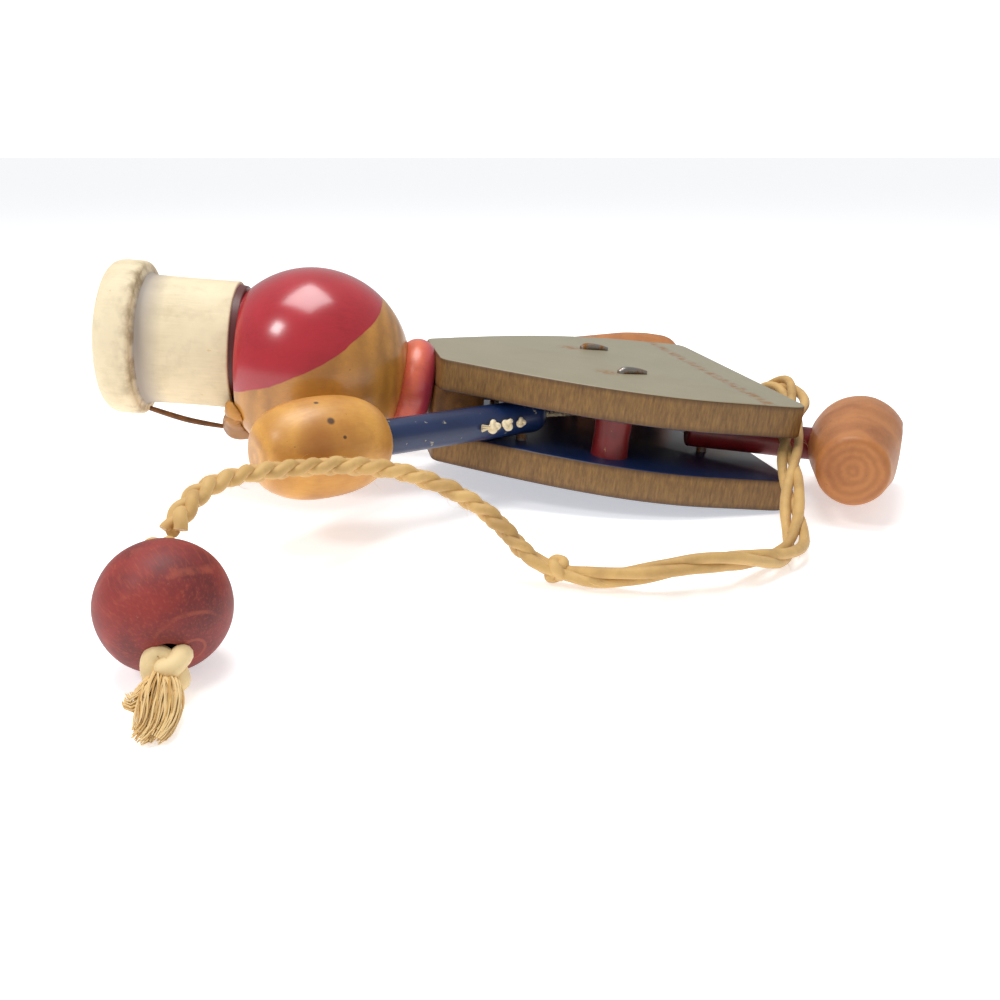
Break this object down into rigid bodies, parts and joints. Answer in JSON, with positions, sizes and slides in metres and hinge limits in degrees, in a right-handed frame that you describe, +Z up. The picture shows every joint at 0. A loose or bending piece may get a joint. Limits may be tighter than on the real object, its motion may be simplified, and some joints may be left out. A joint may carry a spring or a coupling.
{
  "type": "jumping jack",
  "caption": "Wooden pull-string jumping jack in a bandsman's tall hat, lying face down, with swinging arms and legs and a hemp pull cord with a red bead.",
  "frame": {"origin": "on the table under the middle of the figure as it lies face down", "axes": "+X along the figure to its feet, +Y to its right hand, +Z up"},
  "size_m": [0.1551, 0.1452, 0.0451],
  "materials": {
    "plywood": "satin",
    "bare_wood": "satin",
    "orange_paint": "satin",
    "red_gloss_head": "gloss",
    "white_paint": "matte",
    "peak_wood": "satin",
    "leather": "matte",
    "red_paint": "satin",
    "wire": "satin",
    "navy_paint": "satin",
    "hand_wood": "satin",
    "shoe_wood": "satin",
    "white_string": "matte",
    "hemp": "matte",
    "red_stain": "matte",
    "frayed_hemp": "matte"
  },
  "bodies": {
    "torso": {"back_board": "plywood", "front_board": "plywood", "neck_block": "bare_wood", "neck_dowel": "bare_wood", "neck_ring": "orange_paint", "head_ball": "red_gloss_head", "nose_peg": "bare_wood", "hat": "white_paint", "hat_dowel": "bare_wood", "cap_peak": "peak_wood", "chin_strap": "leather", "left_spacer_peg": "red_paint", "right_spacer_peg": "red_paint", "left_clinched_nail": "wire", "right_clinched_nail": "wire", "left_shoulder_pin": "wire", "right_shoulder_pin": "wire", "left_hip_pin": "wire", "right_hip_pin": "wire", "gather_knot": "hemp", "pull_cord": "hemp", "mid_knot": "hemp"},
    "left_arm": {"left_arm": "navy_paint", "left_hand": "hand_wood", "left_arm_string": "white_string", "left_arm_knot": "white_string"},
    "right_arm": {"right_arm": "navy_paint", "right_hand": "hand_wood", "right_arm_string": "white_string", "right_arm_knot": "white_string"},
    "left_leg": {"left_leg": "red_paint", "left_shoe": "shoe_wood", "left_leg_string": "white_string"},
    "right_leg": {"right_leg": "red_paint", "right_shoe": "shoe_wood", "right_leg_string": "white_string"},
    "pull": {"bead_knot": "hemp", "pull_bead": "red_stain", "end_knot": "frayed_hemp", "tassel": "frayed_hemp"}
  },
  "joints": [
    {"name": "left_shoulder", "type": "hinge", "parent": "torso", "child": "left_arm", "pos_m": [0.00097, -0.0177, 0.01572], "axis": [0.1132, 0, 0.9936], "range_deg": [-5, 80], "deforming": ["left_arm_string", "pull_cord", "mid_knot"]},
    {"name": "right_shoulder", "type": "hinge", "parent": "torso", "child": "right_arm", "pos_m": [0.00097, 0.0103, 0.01572], "axis": [0.1132, 0, 0.9936], "range_deg": [-80, 2], "deforming": ["right_arm_string"]},
    {"name": "left_hip", "type": "hinge", "parent": "torso", "child": "left_leg", "pos_m": [0.03773, -0.0182, 0.01153], "axis": [0.1132, 0, 0.9936], "range_deg": [-66, 6], "deforming": ["left_leg_string", "pull_cord", "mid_knot"]},
    {"name": "right_hip", "type": "hinge", "parent": "torso", "child": "right_leg", "pos_m": [0.03773, 0.0108, 0.01153], "axis": [0.1132, 0, 0.9936], "range_deg": [-74, 2], "deforming": ["right_leg_string"]},
    {"name": "cord_pull", "type": "slide", "parent": "torso", "child": "pull", "axis": [0, -1, 0], "range_m": [-0.0012, 0.0125], "deforming": ["pull_cord"]}
  ],
  "couplings": [
    {"joint": "cord_pull", "follows": "left_hip", "m_per_rad": -0.0106}
  ]
}
